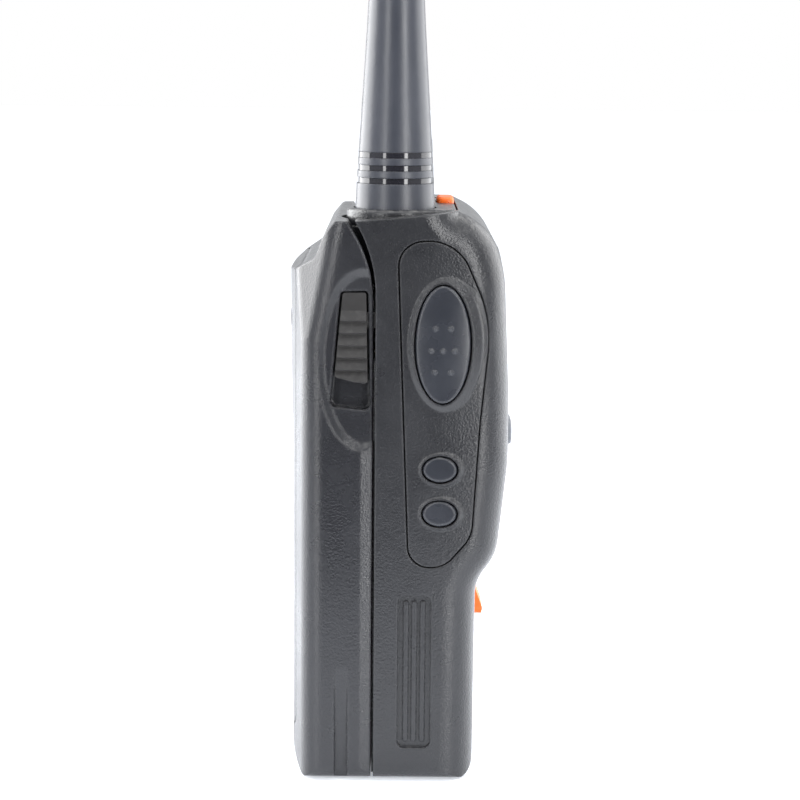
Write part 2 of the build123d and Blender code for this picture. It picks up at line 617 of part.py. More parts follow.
switch_names = {"channel": "channel_encoder", "volume": "volume_pot"}
for control, x in knob_x.items():
    spindle_top = plate_top + knob_height[control] - 2.0
    with BuildPart() as turn_switch:
        brick((x - 4.5, x + 4.5), (knob_y - 3.6, knob_y + 2.9),
              (control_board_z, cavity_top - 0.2))
        with Locations((x, knob_y, cavity_top - 0.2)):
            Cylinder(bush_radius, plate_top - cavity_top,
                     align=(Align.CENTER, Align.CENTER, Align.MIN))
        with Locations((x, knob_y, plate_top)):
            Hole(spindle_radius + shaft_gap, depth=plate_top - control_board_z - 1.0)
    turn_switch.part.label = switch_names[control]
    export_step(turn_switch.part, f"parts/{switch_names[control]}.step")

    with BuildPart() as spindle:
        with Locations((x, knob_y, control_board_z + 1.3)):
            Cylinder(spindle_radius, spindle_top - control_board_z - 1.3,
                     align=(Align.CENTER, Align.CENTER, Align.MIN))
        brick((x - 3, x - 0.9), (knob_y - 3, knob_y + 3), (plate_top + 0.8, spindle_top + 1),
              Mode.SUBTRACT)
    spindle.part.label = f"{control}_spindle"
    export_step(spindle.part, f"parts/{control}_spindle.step")

    radius, height = knob_radius[control], knob_height[control]
    with BuildPart() as knob:
        with Locations((x, knob_y, plate_top + 0.4)):
            Cone(radius, radius - 0.6, height, align=(Align.CENTER, Align.CENTER, Align.MIN))
        fillet(knob.faces().sort_by(Axis.Z)[-1].edges(), radius=0.8)
        # grip flutes round the knob
        with Locations((x, knob_y, plate_top + 1.6)):
            with PolarLocations(radius + 0.25, 14):
                Cylinder(0.7, height, align=(Align.CENTER, Align.CENTER, Align.MIN),
                         mode=Mode.SUBTRACT)
        # pointer line on the top
        brick((x - 0.4, x + 0.4), (knob_y - radius + 0.9, knob_y - 1.5),
              (plate_top + height, plate_top + height + 1), Mode.SUBTRACT)
        # D-shaped bore that grips the spindle
        with BuildSketch(Plane.XY.offset(plate_top)) as bore:
            with Locations((x, knob_y)):
                Circle(spindle_radius + 0.02)
            with Locations((x - 2.0 - 0.92, knob_y)):
                Rectangle(4.0, 5, mode=Mode.SUBTRACT)
        extrude(bore.sketch, amount=spindle_top + 0.3 - plate_top, dir=(0, 0, 1),
                mode=Mode.SUBTRACT)
        with Locations((x, knob_y, plate_top)):
            Cylinder(bush_radius + 0.4, 1.0, align=(Align.CENTER, Align.CENTER, Align.MIN),
                     mode=Mode.SUBTRACT)
    knob.part.label = f"{control}_knob"
    export_step(knob.part, f"parts/{control}_knob.step")

# ======================================================================== antenna
stud_radius = 3.0
antenna_foot = plate_top - seat_depth + 0.3
with BuildPart() as antenna_socket:
    with Locations((antenna_x, antenna_y, antenna_foot - 0.2)):
        Cylinder(socket_radius, antenna_foot - 0.2 - body_height + 10.0,
                 align=(Align.CENTER, Align.CENTER, Align.MAX))
    with Locations((antenna_x, antenna_y, antenna_foot - 0.2)):
        Cylinder(stud_radius, 7.2, align=(Align.CENTER, Align.CENTER, Align.MIN))
        Hole(0.9, depth=10)
antenna_socket.part.label = "antenna_socket"
export_step(antenna_socket.part, "parts/antenna_socket.step")

antenna_axis = Axis((antenna_x, antenna_y, 0), (0, 0, 1))
antenna_plane = Plane.XZ.offset(-antenna_y)
band_floor = antenna_radius - 0.95
bands = ((5.3, 6.4), (7.7, 8.8), (10.1, 11.2))   # glossy bands, up from the foot
with BuildPart() as antenna_sheath:
    with BuildSketch(antenna_plane) as profile:
        with BuildLine():
            foot = Line((antenna_x, antenna_foot), (antenna_x + antenna_radius, antenna_foot))
            base = Line(foot @ 1, (antenna_x + antenna_radius - 0.2, antenna_foot + 5.0))
            collar = Line(base @ 1, (antenna_x + antenna_radius - 0.6, antenna_foot + 11.5))
            taper = Spline(
                collar @ 1,
                (antenna_x + antenna_radius - 1.4, antenna_foot + 24.0),
                (antenna_x + antenna_radius - 2.3, antenna_foot + 39.0),
                (antenna_x + antenna_tip_radius + 0.5, antenna_foot + 0.6 * antenna_length),
                (antenna_x + antenna_tip_radius, antenna_foot + antenna_length),
            )
            tip = Line(taper @ 1, (antenna_x, antenna_foot + antenna_length))
            Line(tip @ 1, foot @ 0)
        make_face()
    revolve(profile.sketch, antenna_axis)
    fillet(antenna_sheath.faces().sort_by(Axis.Z)[-1].edges(),
           radius=0.8 * antenna_tip_radius)
    for low, high in bands:
        with BuildSketch(Plane.XY.offset(antenna_foot + low)) as groove:
            with Locations((antenna_x, antenna_y)):
                Circle(antenna_radius + 1)
                Circle(band_floor, mode=Mode.SUBTRACT)
        extrude(groove.sketch, amount=high - low, dir=(0, 0, 1), mode=Mode.SUBTRACT)
    # room for the threaded insert and the radiating rod
    with Locations((antenna_x, antenna_y, antenna_foot)):
        Cylinder(5.0, 9.0, align=(Align.CENTER, Align.CENTER, Align.MIN), mode=Mode.SUBTRACT)
        Cylinder(rod_radius + 0.02, antenna_length - 8.0,
                 align=(Align.CENTER, Align.CENTER, Align.MIN), mode=Mode.SUBTRACT)
antenna_sheath.part.label = "antenna_sheath"
export_step(antenna_sheath.part, "parts/antenna_sheath.step")

with BuildPart() as antenna_bands:
    for low, high in bands:
        with BuildSketch(Plane.XY.offset(antenna_foot + low + 0.02)) as band:
            with Locations((antenna_x, antenna_y)):
                Circle(band_floor + 0.4)
                Circle(band_floor + 0.02, mode=Mode.SUBTRACT)
        extrude(band.sketch, amount=high - low - 0.04, dir=(0, 0, 1))
antenna_bands.part.label = "antenna_bands"
export_step(antenna_bands.part, "parts/antenna_bands.step")

with BuildPart() as antenna_insert:
    with Locations((antenna_x, antenna_y, antenna_foot + 0.1)):
        Cylinder(4.98, 8.8, align=(Align.CENTER, Align.CENTER, Align.MIN))
        Cylinder(stud_radius + shaft_gap, 7.3, align=(Align.CENTER, Align.CENTER, Align.MIN),
                 mode=Mode.SUBTRACT)
antenna_insert.part.label = "antenna_insert"
export_step(antenna_insert.part, "parts/antenna_insert.step")

with BuildPart() as antenna_rod:
    with Locations((antenna_x, antenna_y, antenna_foot + 9.0)):
        Cylinder(rod_radius, antenna_length - 18.0,
                 align=(Align.CENTER, Align.CENTER, Align.MIN))
antenna_rod.part.label = "antenna_rod"
export_step(antenna_rod.part, "parts/antenna_rod.step")

# ============================================================ chassis and main board
contact_z, contact_x = body_height - 28.0, (-6.0, 0.0, 6.0)
hook_x, hook_z, hook_wide, hook_tall = 12.0, 6.5, 7.0, 2.4
with BuildPart() as chassis:
    brick((-cavity_half + insert_gap, cavity_half - insert_gap),
          (chassis_back - chassis_thick, chassis_back),
          (cavity_bottom + insert_gap, chassis_top - insert_gap))
    # pockets that the battery's hooks enter, and the window for the spring contacts
    for x in (-hook_x, hook_x):
        brick((x - hook_wide / 2 - 0.4, x + hook_wide / 2 + 0.4),
              (chassis_back - chassis_thick - 1, chassis_back + 1),
              (hook_z - hook_tall / 2 - 0.4, hook_z + hook_tall / 2 + 0.4), Mode.SUBTRACT)
    brick((contact_x[0] - 3.5, contact_x[-1] + 3.5),
          (chassis_back - chassis_thick - 1, chassis_back + 1),
          (contact_z - 4, contact_z + 4), Mode.SUBTRACT)
    # stiffening ribs on the back
    for z in (18, 30, 42, 54, 66):
        brick((-18, 18), (chassis_back - 0.6, chassis_back + 1), (z - 4.5, z + 4.5),
              Mode.SUBTRACT)
    screw_spots = [
        Plane.XZ.offset(-chassis_back) * Location((x * chassis_screw_x, z))
        for x in (-1, 1) for z in chassis_screw_z
    ]
    for spot in screw_spots:
        with Locations(spot):
            Cylinder(screw_head_radius + 0.1, 1.2,
                     align=(Align.CENTER, Align.CENTER, Align.MIN), mode=Mode.SUBTRACT)
            Cylinder(screw_radius + 0.1, 3.0,
                     align=(Align.CENTER, Align.CENTER, Align.MIN), mode=Mode.SUBTRACT)
chassis.part.label = "chassis"
export_step(chassis.part, "parts/chassis.step")

with BuildPart() as chassis_screws:
    for spot in screw_spots:
        with Locations(spot * Location((0, 0, 0.1))):
            Cylinder(screw_head_radius, 1.0, align=(Align.CENTER, Align.CENTER, Align.MIN))
            Cylinder(screw_radius - 0.3, chassis_thick + pillar_length - 1.5,
                     align=(Align.CENTER, Align.CENTER, Align.MIN))
            Box(2.8, 0.6, 0.5, align=(Align.CENTER, Align.CENTER, Align.MIN),
                mode=Mode.SUBTRACT)
            Box(0.6, 2.8, 0.5, align=(Align.CENTER, Align.CENTER, Align.MIN),
                mode=Mode.SUBTRACT)
chassis_screws.part.label = "chassis_screws"
export_step(chassis_screws.part, "parts/chassis_screws.step")

with BuildPart() as main_board:
    brick((-18.5, 18.5), (board_y - board_thick, board_y), (10, body_height - 17))
main_board.part.label = "main_board"
export_step(main_board.part, "parts/main_board.step")

can_height = 2.4
with BuildPart() as shield_cans:
    for low, high in ((-17.5, -1.5), (1.5, 17.5)):
        brick((low, high), (board_y, board_y + can_height), (22, 62))
        brick((low + 0.4, high - 0.4), (board_y, board_y + can_height - 0.4), (22.4, 61.6),
              Mode.SUBTRACT)
shield_cans.part.label = "shield_cans"
export_step(shield_cans.part, "parts/shield_cans.step")

with BuildPart() as board_chips:
    for x, z, size in ((-9, 45, 9.0), (8, 30, 7.0), (9, 70, 6.0), (-8, 75, 5.0)):
        brick((x - size / 2, x + size / 2), (board_y - board_thick - 1.0,
                                             board_y - board_thick),
              (z - size / 2, z + size / 2))
board_chips.part.label = "board_chips"
export_step(board_chips.part, "parts/board_chips.step")

with BuildPart() as contact_block:
    brick((contact_x[0] - 3.3, contact_x[-1] + 3.3), (board_y, chassis_back),
          (contact_z - 3.8, contact_z + 3.8))
    for x in contact_x:
        brick((x - 1.3, x + 1.3), (chassis_back - 2.4, chassis_back + 1),
              (contact_z - 3, contact_z + 3), Mode.SUBTRACT)
contact_block.part.label = "contact_block"
export_step(contact_block.part, "parts/contact_block.step")

with BuildPart() as spring_contacts:
    for x in contact_x:
        with BuildSketch(Plane.YZ.offset(x - 1.0)) as leaf:
            with BuildLine():
                Polyline(
                    (chassis_back - 2.4, contact_z - 2.8), (chassis_back - 2.0, contact_z - 2.8),
                    (battery_front - 0.05, contact_z + 0.4),
                    (chassis_back - 0.6, contact_z + 2.6), (chassis_back - 0.9, contact_z + 2.5),
                    (battery_front - 0.5, contact_z + 0.3), (chassis_back - 2.4, contact_z - 2.4),
                    close=True,
                )
            make_face()
        extrude(leaf.sketch, amount=2.0, dir=(1, 0, 0))
spring_contacts.part.label = "spring_contacts"
export_step(spring_contacts.part, "parts/spring_contacts.step")

# ============================================================ accessory side
with BuildPart() as accessory_cover:
    extrude(rounded(Plane.YZ.offset(half_width), (jack_y, jack_z),
                    cover_wide - 2 * insert_gap, cover_tall - 2 * insert_gap, 2.8),
            amount=cover_thick - 0.05, dir=(-1, 0, 0))
    extrude(rounded(Plane.YZ.offset(half_width), (jack_y, jack_z + 3.0), cover_wide - 3.0,
                    cover_tall - 12.0, 2.0),
            amount=0.4, dir=(-1, 0, 0), mode=Mode.SUBTRACT)
    with Locations(Plane.YZ.offset(half_width) * Location((jack_y, cover_screw_z))):
        CounterBoreHole(screw_radius + 0.1, screw_head_radius + 0.1, 1.0)
accessory_cover.part.label = "accessory_cover"
export_step(accessory_cover.part, "parts/accessory_cover.step")

with BuildPart() as cover_screw:
    with Locations(Plane.YZ.offset(half_width - 0.1) * Location((jack_y, cover_screw_z))):
        Cylinder(screw_head_radius, 0.85, align=(Align.CENTER, Align.CENTER, Align.MAX))
        Cylinder(screw_radius - 0.3, 3.2, align=(Align.CENTER, Align.CENTER, Align.MAX))
        Box(3.0, 0.7, 0.5, align=(Align.CENTER, Align.CENTER, Align.MAX), mode=Mode.SUBTRACT)
cover_screw.part.label = "cover_screw"
export_step(cover_screw.part, "parts/cover_screw.step")

with BuildPart() as accessory_jacks:
    for z, bore in zip(jack_spots, (1.8, 1.3)):
        brick((cavity_half - 5.0, cavity_half - 0.2), (jack_y - 3.6, jack_y + 3.6),
              (z - 4.0, z + 4.0))
        with Locations(Plane.YZ.offset(cavity_half - 0.2) * Location((jack_y, z))):
            Cylinder(jack_radius, side_wall - cover_thick,
                     align=(Align.CENTER, Align.CENTER, Align.MIN))
            Cylinder(bore, 12, mode=Mode.SUBTRACT)
accessory_jacks.part.label = "accessory_jacks"
export_step(accessory_jacks.part, "parts/accessory_jacks.step")

# ======================================================================== battery
battery_inner = foot_back - 1.8       # how far back the battery's hollow reaches
shoulder_back, shoulder_top = foot_back + 1.1, body_height - 10.7
crown = 3.9                           # how much the back bows out past its edges
lid_thick = 1.5
battery_gap_extra = 1.0               # the gap opens towards the top of the seam


def battery_outline(x):
    """Side view of the battery, drawn in Y and Z."""
    with BuildSketch(Plane.YZ.offset(x)) as outline:
        with BuildLine():
            curve_foot = body_height - seam_curve_drop - battery_gap_extra
            radius = seam_curve_radius - 2 * battery_gap_extra
            turn = degrees(asin((body_height - curve_foot) / radius))
            curl = JernArc((battery_front, curve_foot), (0, 1), radius, -turn)
            FilletPolyline(
                curl @ 1, (foot_back - 8.3, body_height), (foot_back - 6.3, shoulder_top + 8.3),
                (foot_back - 4.6, shoulder_top + 3.6), (shoulder_back, shoulder_top), (shoulder_back, shoulder_top - 9.0),
                (foot_back + 0.1, bulge_full + 5), (foot_back, 0), (battery_front, 0),
                radius=[1.2, 4.0, 2.0, 1.0, 10, 40, foot_round + 1.0],
            )
            Line((battery_front, 0), curl @ 0)
        make_face()
    return outline.sketch


with BuildPart() as battery_block:
    extrude(battery_outline(-half_width), amount=body_width, dir=(1, 0, 0))
    # the back is bowed: highest along its middle
    with BuildSketch(Plane.XY) as plan:
        with BuildLine():
            edge_y = shoulder_back - crown
            Polyline((half_width, edge_y), (half_width, 0), (-half_width, 0),
                     (-half_width, edge_y))
            ThreePointArc((-half_width, edge_y), (0, shoulder_back), (half_width, edge_y))
        make_face()
        fillet(plan.vertices().group_by(Axis.Y)[1], radius=back_corner)
    extrude(plan.sketch, amount=2 * body_height, dir=(0, 0, 1), mode=Mode.INTERSECT)
    # rounded under the foot, as the case is
    with BuildSketch(Plane.XZ) as frontal:
        with Locations((0, body_height)):
            Rectangle(body_width, 2 * body_height)
        fillet(frontal.vertices().group_by(Axis.Z)[0], radius=foot_round)
    extrude(frontal.sketch, amount=2 * foot_back, dir=(0, 1, 0), mode=Mode.INTERSECT)
    # a long facet on each upper back corner
    for side in (-1, 1):
        low = Vector(side * half_width, shoulder_back - crown, body_height - 29.0)
        high = Vector(side * half_width, foot_back - 8.4, body_height)
        back = Vector(side * (half_width - 9.5), shoulder_back, shoulder_top)
        outwards = (high - low).cross(back - low).normalized() * -side
        with BuildSketch(Plane(low, z_dir=outwards)) as facet:
            Rectangle(150, 150)
        extrude(facet.sketch, amount=25, dir=outwards, mode=Mode.SUBTRACT)
    # the facet rolls softly into the side
    horns = battery_block.edges().filter_by(
        lambda e: half_width - abs(e.center().X) < 0.05
        and shoulder_top - 10 < e.center().Z < body_height - 2 and e.center().Y > seam_y + 2
    )
    fillet(horns, radius=back_corner)

lid_low, lid_high = 2.0, body_height - 16.6
lid_half = half_width - 2.6
hollow_half, hollow_top = half_width - 3.7, cell_tall + 7.0
board_room, lid_upper_half = half_width - 6.7, half_width - 5.4
slot_x = half_width - latch_depth
slot_strip = 0.8                      # wall between the latch slot and the seam
slot_front = battery_front + slot_strip
slot_top, slot_foot = body_height - 12.9, body_height - 35.6
insert_z, insert_spacing, insert_radius = body_height - 20.0, 20.0, 2.2
insert_recess, insert_length = 1.3, 4.4
plate_low, plate_high, plate_half, plate_thick = 8.0, shoulder_top + 1.6, 19.0, 1.4
pad_spots = [(x, 14.0) for x in (-8.0, 0.0, 8.0)]


def latch_slot(x):
    """The slot that a latch slides in: it widens downwards."""
    with BuildSketch(Plane.YZ.offset(x)) as outline:
        with BuildLine():
            FilletPolyline(
                (slot_front + 0.1, slot_top), (slot_front + 5.3, slot_top - 0.2),
                (slot_front + 7.3, slot_foot + 0.7), (slot_front - 0.4, slot_foot),
                radius=[0.8, 0.8, 1.2, 1.2], close=True,
            )
        make_face()
    return outline.sketch


def back_skin(grow, thick):
    """The middle of the battery's back, as a skin of an even depth."""
    with BuildPart() as skin:
        extrude(rounded(Plane.XZ.offset(-foot_back - 4), (0, (plate_low + plate_high) / 2),
                        2 * plate_half + 2 * grow, plate_high - plate_low + 2 * grow, 3.0),
                amount=14, dir=(0, -1, 0))
        add(battery_block, mode=Mode.INTERSECT)
        add(battery_block.part.moved(Location((0, -thick, -0.7 * thick))),
            mode=Mode.SUBTRACT)
    return skin.part


with BuildPart() as battery_case:
    add(battery_block)
    # clear of the antenna lobe of the case, open towards the front
    with BuildSketch(Plane.XY.offset(body_height - 13.5)) as lobe_room:
        with Locations((antenna_x, antenna_y)):
            Circle(lobe_radius + battery_gap_extra)
    extrude(lobe_room.sketch, amount=20, dir=(0, 0, 1), mode=Mode.SUBTRACT)
    # hollow for the cells, a narrower one for the board, and the seat of the lid
    brick((-hollow_half, hollow_half), (battery_front - 1, battery_inner - 1.5),
          (3.4, hollow_top), Mode.SUBTRACT)
    brick((-board_room, board_room), (battery_front - 1, battery_inner - 4),
          (hollow_top - 1, lid_high - 3),
          Mode.SUBTRACT)
    brick((-lid_half, lid_half), (battery_front - 1, battery_front + lid_thick),
          (lid_low, slot_foot - 1.5), Mode.SUBTRACT)
    brick((-lid_upper_half, lid_upper_half), (battery_front - 1, battery_front + lid_thick),
          (lid_low, lid_high), Mode.SUBTRACT)
    for side in (-1, 1):
        inwards = (-side, 0, 0)
        # dished thumb rest round the latch
        with BuildSketch(Plane.YZ.offset(side * (half_width + 0.1))) as rest_outer:
            with Locations((seam_y + 2.4, body_height - 26.0)):
                Ellipse(8.6, 17.5)
        with BuildSketch(Plane.YZ.offset(side * (half_width - 1.1))) as rest_inner:
            with Locations((seam_y + 2.2, body_height - 26.0)):
                Ellipse(7.4, 15.6)
        loft([rest_outer.sketch, rest_inner.sketch], mode=Mode.SUBTRACT)
        # latch slot, the notch for its arm and the groove for its spring
        extrude(latch_slot(side * half_width), amount=latch_depth, dir=inwards,
                mode=Mode.SUBTRACT)
        brick(sorted((side * (arm_x[0] - 0.3), side * (arm_x[1] + 0.2))),
              (battery_front - 1, slot_front + 1),
              (arm_top - arm_tall - latch_travel - 0.3, arm_top + 0.3), Mode.SUBTRACT)
        brick(sorted((side * (slot_x - spring_groove), side * (slot_x + 0.5))),
              (slot_front + 2.0, slot_front + 2.0 + spring_wide),
              (slot_foot + spring_lift - 0.1, slot_foot + spring_lift - 0.1 + spring_room),
              Mode.SUBTRACT)
        # guide groove for the charger, deepest at the foot
        with BuildSketch(Plane.XZ.offset(-(seam_y + 5.0))) as wedge:
            with BuildLine():
                Polyline((side * (half_width - 1.4), 0), (side * (half_width + 1), 0),
                         (side * (half_width + 1), 23.5), (side * half_width, 22.6),
                         close=True)
            make_face()
        extrude(wedge.sketch, amount=2.5, dir=(0, 1, 0), mode=Mode.SUBTRACT)
        # slim bevel beside the seam
        with BuildSketch(Plane.XY) as bevel:
            with BuildLine():
                Polyline((side * (half_width - 0.6), battery_front - 0.1),
                         (side * (half_width + 1), battery_front - 0.1),
                         (side * (half_width + 1), battery_front + 2.2),
                         (side * half_width, battery_front + 2.2), close=True)
            make_face()
        extrude(bevel.sketch, amount=body_height - 42.0, dir=(0, 0, 1), mode=Mode.SUBTRACT)
    add(back_skin(plate_gap, plate_thick + insert_gap), mode=Mode.SUBTRACT)
    for x, z in pad_spots:
        with Locations(Plane.XZ.offset(-foot_back) * Location((x, z))):
            Cylinder(pad_radius + 0.1, 3.2, align=(Align.CENTER, Align.CENTER, Align.MIN),
                     mode=Mode.SUBTRACT)
    for x in (-insert_spacing / 2, insert_spacing / 2):
        with Locations(Plane.XZ.offset(-foot_back) * Location((x, insert_z))):
            Cylinder(insert_radius + shaft_gap, insert_recess + insert_length + 0.1,
                     align=(Align.CENTER, Align.CENTER, Align.MIN), mode=Mode.SUBTRACT)
battery_case.part.label = "battery_case"
export_step(battery_case.part, "parts/battery_case.step")

with BuildPart() as battery_back:
    add(back_skin(0, plate_thick))
    for x, z in pad_spots:
        with Locations(Plane.XZ.offset(-foot_back - 1) * Location((x, z))):
            Cylinder(pad_radius + 0.3, 8, align=(Align.CENTER, Align.CENTER, Align.MIN),
                     mode=Mode.SUBTRACT)
    for x in (-insert_spacing / 2, insert_spacing / 2):
        with Locations(Plane.XZ.offset(-foot_back - 2) * Location((x, insert_z))):
            Cylinder(clip_bore + 0.6, 8, align=(Align.CENTER, Align.CENTER, Align.MIN),
                     mode=Mode.SUBTRACT)
battery_back.part.label = "battery_back"
export_step(battery_back.part, "parts/battery_back.step")

with BuildPart() as clip_inserts:
    for x in (-insert_spacing / 2, insert_spacing / 2):
        with Locations(Plane.XZ.offset(-foot_back + insert_recess) * Location((x, insert_z))):
            Cylinder(insert_radius, insert_length,
                     align=(Align.CENTER, Align.CENTER, Align.MIN))
            Cylinder(clip_bore, 12, mode=Mode.SUBTRACT)
clip_inserts.part.label = "clip_inserts"
export_step(clip_inserts.part, "parts/clip_inserts.step")

with BuildPart() as charging_pads:
    for x, z in pad_spots:
        with Locations(Plane.XZ.offset(-foot_back + 1.0) * Location((x, z))):
            Cylinder(pad_radius, 1.8, align=(Align.CENTER, Align.CENTER, Align.MIN))
charging_pads.part.label = "charging_pads"
export_step(charging_pads.part, "parts/charging_pads.step")

with BuildPart() as battery_lid:
    brick((-lid_half + insert_gap, lid_half - insert_gap),
          (battery_front, battery_front + lid_thick - 0.1),
          (lid_low + insert_gap, slot_foot - 1.5 - insert_gap))
    brick((-lid_upper_half + insert_gap, lid_upper_half - insert_gap),
          (battery_front, battery_front + lid_thick - 0.1),
          (lid_low + insert_gap, lid_high - insert_gap))
    for x in (-hook_x, hook_x):
        brick((x - hook_wide / 2, x + hook_wide / 2), (seam_y - 2.4, battery_front),
              (hook_z - hook_tall / 2, hook_z + hook_tall / 2))
    for x in contact_x:
        brick((x - 1.9, x + 1.9), (battery_front - 1, battery_front + 3),
              (contact_z - 3.0, contact_z + 3.0), Mode.SUBTRACT)
battery_lid.part.label = "battery_lid"
export_step(battery_lid.part, "parts/battery_lid.step")

with BuildPart() as battery_contacts:
    for x in contact_x:
        brick((x - 1.8, x + 1.8), (battery_front, battery_front + lid_thick + 0.3),
              (contact_z - 2.9, contact_z + 2.9))
battery_contacts.part.label = "battery_contacts"
export_step(battery_contacts.part, "parts/battery_contacts.step")

with BuildPart() as protection_board:
    brick((-19, 19), (battery_front + lid_thick + 0.4, battery_front + lid_thick + 1.4),
          (hollow_top + 0.6, lid_high - 4))
protection_board.part.label = "protection_board"
export_step(protection_board.part, "parts/protection_board.step")

with BuildPart() as battery_cells:
    for side in (-1, 1):
        with Locations((side * (cell_wide / 2 + 0.3), battery_front + lid_thick + 0.3
                        + cell_deep / 2, 4.0 + cell_tall / 2)):
            Box(cell_wide, cell_deep, cell_tall)
    fillet(battery_cells.edges().filter_by(Axis.Z), radius=2.5)
battery_cells.part.label = "battery_cells"
export_step(battery_cells.part, "parts/battery_cells.step")

# ------------------------------------------------------------------ battery latches
rib_count, rib_pitch = 6, 2.32
for name, side in (("latch_left", -1), ("latch_right", 1)):
    outwards = (side, 0, 0)
    with BuildPart() as latch:
        base_x = side * (slot_x + 0.1)
        top, foot = slot_top - 0.4, slot_foot + 6.4
        with BuildSketch(Plane.YZ.offset(base_x)) as slider:
            with BuildLine():
                FilletPolyline(
                    (slot_front + 0.5, top), (slot_front + 4.9, top - 0.05),
                    (slot_front + 6.4, foot), (slot_front + 0.15, foot - 1.5),
                    radius=[0.5, 0.5, 0.7, 0.7], close=True,
                )
            make_face()
        extrude(slider.sketch, amount=latch_depth - 1.5, dir=outwards)
        # thumb steps: each is a low ramp that ends in a ledge
        for step in range(rib_count):
            z = top - 3.4 - step * rib_pitch
            with BuildSketch(Plane.XZ.offset(-slot_front)) as ramp:
                with BuildLine():
                    Polyline((base_x + side * (latch_depth - 1.6), z),
                             (base_x + side * (latch_depth - 1.5), z),
                             (base_x + side * (latch_depth - 0.6), z - rib_pitch + 0.5),
                             (base_x + side * (latch_depth - 1.6), z - rib_pitch + 0.3),
                             close=True)
                make_face()
            extrude(ramp.sketch, amount=8, dir=(0, 1, 0))
        extrude(slider.sketch, amount=latch_depth + 1, dir=outwards, mode=Mode.INTERSECT)
        # arm that reaches into the case, and the lug that rides on the spring
        brick(sorted((side * arm_x[0], side * arm_x[1])), (seam_y - 2.4, slot_front + 1.5),
              (arm_top - arm_tall, arm_top))
        brick(sorted((side * (slot_x - spring_groove + 0.3), side * (slot_x + 0.5))),
              (slot_front + 2.2, slot_front + 1.8 + spring_wide),
              (lug_z, lug_z + 2.5))
    latch.part.label = name
    export_step(latch.part, f"parts/{name}.step")

    spring_foot = slot_foot + spring_lift
    spring_tall = lug_z - spring_foot
    with BuildPart() as latch_spring:
        with BuildLine(Plane((side * (slot_x - spring_groove / 2), slot_front + 2.0
                              + spring_wide / 2, spring_foot + 0.2))) as coil:
            Helix(pitch=(spring_tall - 0.4) / 8, height=spring_tall - 0.4,
                  radius=spring_groove / 2 - 0.4)
        with BuildSketch(Plane(coil.line @ 0, z_dir=coil.line % 0)):
            Circle(0.15)
        sweep()
    latch_spring.part.label = f"{name}_spring"
    export_step(latch_spring.part, f"parts/{name}_spring.step")
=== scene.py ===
# %% [markdown]
# # A hand-held two-way radio
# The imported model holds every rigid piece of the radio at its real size: the moulded case, the battery with
# its latches, the keys, the knobs and the antenna. This lesson leaves those shapes alone, gives each of them
# the finish that the real piece has, adds the thin pieces that are easier to make as meshes, and sets up a
# plain light tent round the whole.

import json
from math import radians

import bpy
from mathutils import Euler, Matrix, Vector


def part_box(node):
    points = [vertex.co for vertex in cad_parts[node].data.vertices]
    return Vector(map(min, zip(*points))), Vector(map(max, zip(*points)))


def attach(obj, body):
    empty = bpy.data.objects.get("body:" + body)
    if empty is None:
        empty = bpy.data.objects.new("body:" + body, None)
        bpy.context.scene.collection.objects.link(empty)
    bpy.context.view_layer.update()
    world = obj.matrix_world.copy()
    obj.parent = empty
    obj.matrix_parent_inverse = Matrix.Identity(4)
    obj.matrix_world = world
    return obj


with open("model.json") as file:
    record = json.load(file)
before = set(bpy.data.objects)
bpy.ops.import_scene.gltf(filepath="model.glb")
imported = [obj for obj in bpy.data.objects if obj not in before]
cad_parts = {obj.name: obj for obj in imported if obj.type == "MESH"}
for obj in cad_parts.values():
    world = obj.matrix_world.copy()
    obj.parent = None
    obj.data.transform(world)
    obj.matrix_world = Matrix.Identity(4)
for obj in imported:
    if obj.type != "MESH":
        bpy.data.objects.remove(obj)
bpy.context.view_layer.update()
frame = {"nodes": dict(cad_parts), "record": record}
MM = 0.001

# %% [markdown]
# ## Small helpers for shader nodes
# A finish on the real radio is seldom one even colour. The mould is spark-eroded, which leaves a fine
# pebbled skin. Hands polish the edges, and dust lies on what faces up. Each of these effects is wanted on
# several materials, so each is built once as a node group, and every material places the group with its own
# values. The helper below adds a node and fills in its sockets and settings in one line.

# %% Adding nodes in one line


def put(tree, kind, sockets=None, **settings):
    """Add a node, set its settings, and give each socket a value or a link."""
    node = tree.nodes.new(kind)
    for key, value in settings.items():
        setattr(node, key, value)
    for key, value in (sockets or {}).items():
        if isinstance(value, bpy.types.NodeSocket):
            tree.links.new(value, node.inputs[key])
        else:
            node.inputs[key].default_value = value
    return node


def new_group(name, takes, gives):
    """An empty node group with the named inputs and outputs."""
    group = bpy.data.node_groups.new(name, "ShaderNodeTree")
    for label, kind in takes:
        group.interface.new_socket(label, in_out="INPUT", socket_type=kind)
    for label, kind in gives:
        group.interface.new_socket(label, in_out="OUTPUT", socket_type=kind)
    return group, group.nodes.new("NodeGroupInput"), group.nodes.new("NodeGroupOutput")


def place(tree, name, **sockets):
    """Place a shared node group in a material."""
    node = tree.nodes.new("ShaderNodeGroup")
    node.node_tree = bpy.data.node_groups[name]
    for key, value in sockets.items():
        key = key.replace("_", " ")
        if isinstance(value, bpy.types.NodeSocket):
            tree.links.new(value, node.inputs[key])
        else:
            node.inputs[key].default_value = value
    return node


def sum_up(tree, operation, first, second, clamp=False):
    """A Math node's result."""
    return put(tree, "ShaderNodeMath", {0: first, 1: second}, operation=operation, use_clamp=clamp).outputs[0]


def spread(tree, value, low, high, to_low=0.0, to_high=1.0):
    """Stretch a value's range, and hold it at both ends."""
    return put(tree, "ShaderNodeMapRange", {"Value": value, "From Min": low, "From Max": high,
                                            "To Min": to_low, "To Max": to_high}).outputs[0]


FLOAT, VECTOR = "NodeSocketFloat", "NodeSocketVector"
print("helpers ready")

